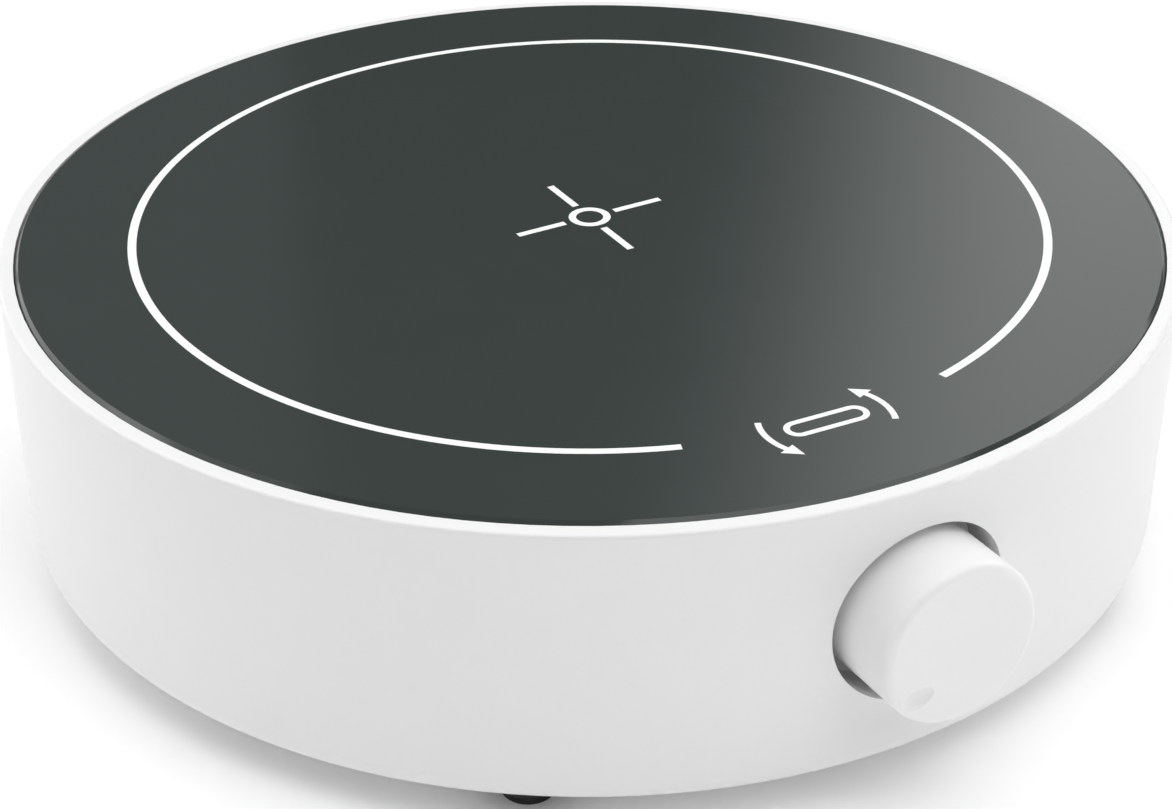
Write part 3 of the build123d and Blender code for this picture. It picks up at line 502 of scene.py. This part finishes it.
@dataclass
class Film:
    """A thin layer printed or stuck on a level face.  All sizes are in millimetres.

    The layer is drawn in its own flat frame, whose X and Y are turned and moved to its place.
    """

    level: float
    thickness: float
    centre: tuple[float, float] = (0.0, 0.0)
    turn: float = 0.0
    shape: bmesh.types.BMesh = field(default_factory=bmesh.new)

    def place(self, line: list[tuple[float, float]], lift: float) -> list[bmesh.types.BMVert]:
        """Adds a line's points, lifted from the face.

        Args:
            line: the points in the film's own frame.
            lift: height over the face.

        Returns:
            The new vertices.
        """
        c, s = math.cos(math.radians(self.turn)), math.sin(math.radians(self.turn))
        z = self.level + lift
        return [
            self.shape.verts.new(
                Vector((self.centre[0] + c * x - s * y, self.centre[1] + s * x + c * y, z)) * MM
            )
            for x, y in line
        ]

    def strip(
        self, outer: list[tuple[float, float]], inner: list[tuple[float, float]], closed: bool = False
    ) -> None:
        """Adds a strip of the layer between two lines of points.

        Args:
            outer: points along one side.
            inner: as many points along the other side.
            closed: whether the strip joins up with its start.
        """
        rows = [
            self.place(line, lift)
            for line, lift in ((outer, 0.0), (outer, self.thickness), (inner, self.thickness), (inner, 0.0))
        ]
        last = len(outer) if closed else len(outer) - 1
        for i in range(last):
            j = (i + 1) % len(outer)
            for row, following in zip(rows, rows[1:] + rows[:1]):
                self.shape.faces.new((row[i], row[j], following[j], following[i]))
        if not closed:
            self.shape.faces.new([row[0] for row in rows])
            self.shape.faces.new([row[-1] for row in rows])

    def patch(self, outline: list[tuple[float, float]]) -> None:
        """Adds a filled area of the layer.

        Args:
            outline: the points round the area.
        """
        low, high = self.place(outline, 0.0), self.place(outline, self.thickness)
        self.shape.faces.new(low)
        self.shape.faces.new(high)
        for i in range(len(low)):
            j = (i + 1) % len(low)
            self.shape.faces.new((low[i], low[j], high[j], high[i]))


@dataclass
class PrintedArtwork:
    """The white print on the glass: a ring with a gap, a centre mark and a plain pictogram.

    All sizes are in millimetres.
    """

    wardrobe: Wardrobe
    thickness: float = 0.02
    ring_outer: float = 58.76
    ring_inner: float = 57.66
    gap_left: float = -19.6
    gap_right: float = 14.6
    dot_outer: float = 2.7
    dot_inner: float = 1.75
    arm_start: float = 3.6
    arm_end: float = 10.45
    arm_width: float = 0.95
    step_degrees: float = 1.0
    fine_degrees: float = 7.5
    bar_half_length: float = 3.7
    bar_radius: float = 1.7
    line_width: float = 0.75
    sweep_radius: float = 7.4
    sweep_angle: float = 24.0
    head_angle: float = 17.0
    curve_steps: int = 12

    def film(self, centre: tuple[float, float] = (0.0, 0.0), turn: float = 0.0) -> Film:
        """Starts a layer of ink on top of the glass.

        Args:
            centre: where the layer's own origin goes.
            turn: how far it is turned, in degrees.

        Returns:
            The empty layer.
        """
        return Film(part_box("glass_plate")[1].z / MM, self.thickness, centre, turn)

    def cure(self, film: Film, name: str) -> bpy.types.Object:
        """Makes an ink piece that rides on the base and takes the ink's finish.

        Args:
            film: the drawn layer.
            name: the piece's name.

        Returns:
            The piece.
        """
        piece = new_piece(name, film.shape)
        self.wardrobe.dress(piece, SCREEN_INK)
        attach(piece, "base")
        return piece

    def ring(self) -> bpy.types.Object:
        """Prints the large ring, open at the front for the pictogram.

        Returns:
            The piece.
        """
        end = FULL_TURN + self.gap_left
        steps = round((end - self.gap_right) / self.step_degrees)
        film = self.film()
        film.strip(
            arc(self.ring_outer, self.gap_right, end, steps),
            arc(self.ring_inner, self.gap_right, end, steps),
        )
        return self.cure(film, "printed_ring")

    def centre_mark(self) -> bpy.types.Object:
        """Prints the small circle with four arms that shows the stirring centre.

        Returns:
            The piece.
        """
        film = self.film()
        last = FULL_TURN - self.fine_degrees
        steps = round(last / self.fine_degrees)
        film.strip(arc(self.dot_outer, 0, last, steps), arc(self.dot_inner, 0, last, steps), closed=True)
        for turn in range(0, FULL_TURN, FULL_TURN // 4):
            quarter = Matrix.Rotation(math.radians(turn), 2)
            left, right = (
                [tuple(quarter @ Vector((x, y))) for y in (self.arm_start, self.arm_end)]
                for x in (-self.arm_width / 2, self.arm_width / 2)
            )
            film.strip(left, right)
        return self.cure(film, "printed_centre_mark")

    def pictogram(self) -> bpy.types.Object:
        """Prints a stir bar between two curved arrows, in the ring's gap.

        Returns:
            The piece.
        """
        middle = (self.gap_left + self.gap_right) / 2
        radius = (self.ring_outer + self.ring_inner) / 2
        film = self.film(arc(radius, middle, middle, 1)[0], middle)
        film.strip(
            capsule(self.bar_half_length, self.bar_radius, self.curve_steps),
            capsule(self.bar_half_length, self.bar_radius - self.line_width, self.curve_steps),
            closed=True,
        )
        near, far = self.sweep_radius, self.sweep_radius + self.line_width
        for side in (HALF_TURN / 2, -HALF_TURN / 2):
            tail, tip = side - self.sweep_angle, side + self.sweep_angle
            film.strip(
                arc(far, tail, tip, self.curve_steps),
                arc(near, tail, tip, self.curve_steps),
            )
            point = tip + self.head_angle
            film.patch(
                [
                    arc(far + self.line_width, tip, tip, 1)[0],
                    arc(near - self.line_width, tip, tip, 1)[0],
                    arc((near + far) / 2, point, point, 1)[0],
                ]
            )
        return self.cure(film, "printed_pictogram")

    def build(self) -> list[bpy.types.Object]:
        """Builds every printed piece.

        Returns:
            The ring, the centre mark and the pictogram.
        """
        return [self.ring(), self.centre_mark(), self.pictogram()]


@dataclass
class UndersideLabel:
    """A blank rating label on the underside, printed only with the inlet's polarity sign.

    All sizes are in millimetres.
    """

    wardrobe: Wardrobe
    length: float = 27.0
    width: float = 13.0
    corner: float = 1.5
    thickness: float = 0.1
    ink: float = 0.02
    line: float = 0.5
    inset: float = 0.9
    ring_radius: float = 1.9
    dot_radius: float = 0.75
    sign_place: float = 7.4
    sign_half: float = 1.3
    stub: float = 2.6
    ring_gap: float = 70.0
    curve_steps: int = 24

    def outline(self, inset: float) -> list[tuple[float, float]]:
        """Finds points round the label's rounded rectangle.

        Args:
            inset: how far inside the label's edge the points run.

        Returns:
            The points in order.
        """
        points = []
        quarter = HALF_TURN // 2
        corner_x, corner_y = self.length / 2 - self.corner, self.width / 2 - self.corner
        places = (
            (corner_x, -corner_y),
            (corner_x, corner_y),
            (-corner_x, corner_y),
            (-corner_x, -corner_y),
        )
        for number, (across, up) in enumerate(places):
            start = number * quarter
            for x, y in arc(self.corner - inset, start, start + quarter, self.curve_steps // 4):
                points.append((across + x, up + y))
        return points

    def bar(self, film: Film, middle: tuple[float, float], half: tuple[float, float]) -> None:
        """Adds a straight printed bar.

        Args:
            film: the layer it is drawn on.
            middle: the bar's middle.
            half: half its size along X and along Y.
        """
        film.patch(
            [
                (middle[0] + x * half[0], middle[1] + y * half[1])
                for x, y in ((-1, -1), (1, -1), (1, 1), (-1, 1))
            ]
        )

    def cure(self, film: Film, name: str, finish: Finish, slot: str) -> bpy.types.Object:
        """Makes a label piece that rides on the base.

        Args:
            film: the drawn layer.
            name: the piece's name.
            finish: the finish it gets.
            slot: not used.

        Returns:
            The piece.
        """
        piece = new_piece(name, film.shape)
        self.wardrobe.dress(piece, finish)
        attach(piece, "base")
        return piece

    def backing(self) -> bpy.types.Object:
        """Cuts the polyester label itself.

        Returns:
            The piece.
        """
        film = Film(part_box("bottom_cover")[0].z / MM, -self.thickness)
        film.patch(self.outline(0.0))
        return self.cure(film, "underside_label", LABEL_FILM, "cover_abs")

    def artwork(self) -> bpy.types.Object:
        """Prints the border line and the polarity sign: a ring with its centre dot, a minus and a plus.

        Returns:
            The piece.
        """
        film = Film(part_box("bottom_cover")[0].z / MM - self.thickness, -self.ink)
        film.strip(self.outline(self.inset), self.outline(self.inset + self.line / 2), closed=True)
        # The ring is open towards the plus, where the centre's line leaves it
        start = (HALF_TURN + self.ring_gap) / 2
        end = start + FULL_TURN - self.ring_gap
        film.strip(
            arc(self.ring_radius, start, end, self.curve_steps),
            arc(self.ring_radius - self.line, start, end, self.curve_steps),
        )
        last = FULL_TURN - FULL_TURN / self.curve_steps
        film.patch(arc(self.dot_radius, 0, last, self.curve_steps - 1))
        half = self.line / 2
        plus_stub = self.ring_radius - self.line + self.stub / 2
        self.bar(film, (plus_stub, 0.0), (self.stub / 2 + self.line, half))
        self.bar(film, (-self.ring_radius - self.stub / 2, 0.0), (self.stub / 2, half))
        for place in (-self.sign_place, self.sign_place):
            self.bar(film, (place, 0.0), (self.sign_half, half))
        arm, arm_middle = (self.sign_half - half) / 2, (self.sign_half + half) / 2
        for up in (-arm_middle, arm_middle):
            self.bar(film, (self.sign_place, up), (half, arm))
        return self.cure(film, "underside_label_print", LABEL_INK, "black_plastic")

    def build(self) -> list[bpy.types.Object]:
        """Builds the label and its print.

        Returns:
            The label and its print.
        """
        return [self.backing(), self.artwork()]


@dataclass(frozen=True)
class SoftLight:
    """A square softbox that faces the object.

    The azimuth is in degrees round from the camera's side and the elevation is over the horizon.
    Distance and size are in metres.
    """

    name: str
    azimuth: float
    elevation: float
    distance: float
    size: float
    radiance: float


SOFT_LIGHTS = (
    SoftLight("overhead", 0, 89, 1.3, 1.35, 1.5),
    SoftLight("key_right", 50, 48, 1.3, 1.1, 1.6),
    SoftLight("front_fill", -15, 25, 1.5, 1.3, 0.14),
    SoftLight("left_fill", -80, 25, 1.4, 1.1, 0.7),
    SoftLight("back_right", 120, 30, 1.4, 1.0, 1.4),
    SoftLight("back_left", -125, 30, 1.4, 1.5, 1.5),
)


@dataclass
class Studio:
    """The camera, the pale floor and the soft lights.

    Angles are in degrees. The camera's lengths are in millimetres, and the room's are in metres.
    """

    azimuth: float = -29.4
    elevation: float = 30.16
    roll: float = -0.333
    sensor_width: float = 36.0
    lens: float = 83.92
    near_clip: float = 10.0
    distance: float = 350.97
    aside: float = -0.61
    drop: float = -23.83
    floor_size: float = 12.0
    floor_tint: str = "fdfdfd"
    floor_roughness: float = 0.9
    floor_shine: float = 0.1
    floor_glow: float = 0.08
    panel_distance: float = 1.4
    panel_left: float = -0.2
    panel_right: float = 1.5
    panel_bottom: float = 0.45
    panel_top: float = 1.4
    panel_slant: float = 0.2
    fade_start: float = 0.2
    fade_width: float = 0.3
    panel_radiance: float = 1.28
    room_light: float = 0.1

    def axes(self) -> tuple[Vector, Vector, Vector]:
        """Works out the camera's directions, before its roll.

        Returns:
            The forward, right and up directions.
        """
        a, e = math.radians(self.azimuth), math.radians(self.elevation)
        forward = Vector((-math.sin(a) * math.cos(e), math.cos(a) * math.cos(e), -math.sin(e)))
        right = Vector((math.cos(a), math.sin(a), 0.0))
        return forward, right, right.cross(forward)

    def camera(self) -> None:
        """Places the camera from the middle of the housing's rim."""
        forward, right, up = self.axes()
        rim = Vector((0.0, 0.0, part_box("housing")[1].z))
        eye = rim + (-forward * self.distance + right * self.aside + up * self.drop) * MM
        roll = math.radians(self.roll)
        side = right * math.cos(roll) + up * math.sin(roll)
        top = up * math.cos(roll) - right * math.sin(roll)
        data = bpy.data.cameras.new("camera")
        data.sensor_width = self.sensor_width
        data.lens = self.lens
        data.clip_start = self.near_clip * MM
        made = bpy.data.objects.new("camera", data)
        bpy.context.scene.collection.objects.link(made)
        turn = Matrix((side, top, -forward)).transposed()
        made.matrix_world = Matrix.Translation(eye) @ turn.to_4x4()
        bpy.context.scene.camera = made

    def floor(self) -> None:
        """Lays a plain pale floor that the feet stand on."""
        shape = bmesh.new()
        bmesh.ops.create_grid(shape, x_segments=1, y_segments=1, size=self.floor_size / 2)
        sheet = new_piece("floor", shape)
        made = bpy.data.materials.new("floor, painted matt")
        made.use_nodes = True
        shader = made.node_tree.nodes["Principled BSDF"]
        shader.inputs["Base Color"].default_value = linear(self.floor_tint)
        shader.inputs["Roughness"].default_value = self.floor_roughness
        shader.inputs["Specular IOR Level"].default_value = self.floor_shine
        shader.inputs["Emission Strength"].default_value = self.floor_glow
        sheet.data.materials.append(made)

    def soft_light(self, light: SoftLight) -> None:
        """Adds a softbox.

        Args:
            light: where it stands and how bright it is.
        """
        data = bpy.data.lights.new(light.name, "AREA")
        data.shape = "SQUARE"
        data.size = light.size
        data.energy = light.radiance * light.size**2 * math.pi
        lamp = bpy.data.objects.new(light.name, data)
        bpy.context.scene.collection.objects.link(lamp)
        a, e = math.radians(self.azimuth + light.azimuth), math.radians(light.elevation)
        back = Vector((math.sin(a) * math.cos(e), -math.cos(a) * math.cos(e), math.sin(e)))
        lamp.location = back * light.distance
        lamp.rotation_euler = back.to_track_quat("Z", "Y").to_euler()

    def mirror_panel(self) -> None:
        """Hangs a glowing sheet behind the object, fading out to the left, that the glass mirrors."""
        forward, right, _ = self.axes()
        level = Vector((forward.x, forward.y, 0.0)).normalized()
        foot = level * self.panel_distance
        shape = bmesh.new()
        corners = [
            shape.verts.new(foot + right * u + Vector((0.0, 0.0, w)))
            for u, w in zip(
                (self.panel_left, self.panel_right, self.panel_right, self.panel_left),
                (self.panel_bottom, self.panel_bottom, self.panel_top, self.panel_top),
            )
        ]
        shape.faces.new(corners)
        sheet = new_piece("mirror_panel", shape)
        made = bpy.data.materials.new("light panel, feathered")
        made.use_nodes = True
        tree = made.node_tree
        tree.nodes.clear()
        place = add_node(tree, "ShaderNodeTexCoord").outputs["Object"]
        along = right + Vector((0.0, 0.0, self.panel_slant))
        across = add_node(
            tree, "ShaderNodeVectorMath", {"operation": "DOT_PRODUCT", "Vector": along}
        )
        tree.links.new(place, across.inputs[1])
        fade = add_node(
            tree,
            "ShaderNodeMapRange",
            {
                "interpolation_type": "SMOOTHSTEP",
                "From Min": self.fade_start,
                "From Max": self.fade_start + self.fade_width,
                "To Max": self.panel_radiance,
            },
            {"Value": across.outputs["Value"]},
        )
        glow = add_node(tree, "ShaderNodeEmission", {}, {"Strength": fade.outputs["Result"]})
        add_node(tree, "ShaderNodeOutputMaterial", {}, {"Surface": glow.outputs["Emission"]})
        sheet.data.materials.append(made)

    def lights(self) -> None:
        """Adds the softboxes, the panel that the glass mirrors, and a faint even room light."""
        for light in SOFT_LIGHTS:
            self.soft_light(light)
        self.mirror_panel()
        world = bpy.data.worlds.new("room")
        world.use_nodes = True
        background = world.node_tree.nodes["Background"]
        background.inputs["Color"].default_value = linear("ffffff")
        background.inputs["Strength"].default_value = self.room_light
        bpy.context.scene.world = world
        bpy.context.scene.view_settings.view_transform = "Standard"

    def build(self) -> None:
        """Sets up everything round the object."""
        self.camera()
        self.floor()
        self.lights()


def main() -> None:
    """Builds the studio and the pieces in order, and reports each piece."""
    logging.basicConfig(level=logging.INFO, format="%(message)s")
    Studio().build()
    wardrobe = Wardrobe()
    wardrobe.dress_packed_nodes()
    log.info("dressed %d packed nodes", len(frame["nodes"]))
    for maker in (PrintedArtwork(wardrobe), UndersideLabel(wardrobe)):
        for piece in maker.build():
            log.info("built %s", piece.name)


if __name__ == "__main__":
    main()
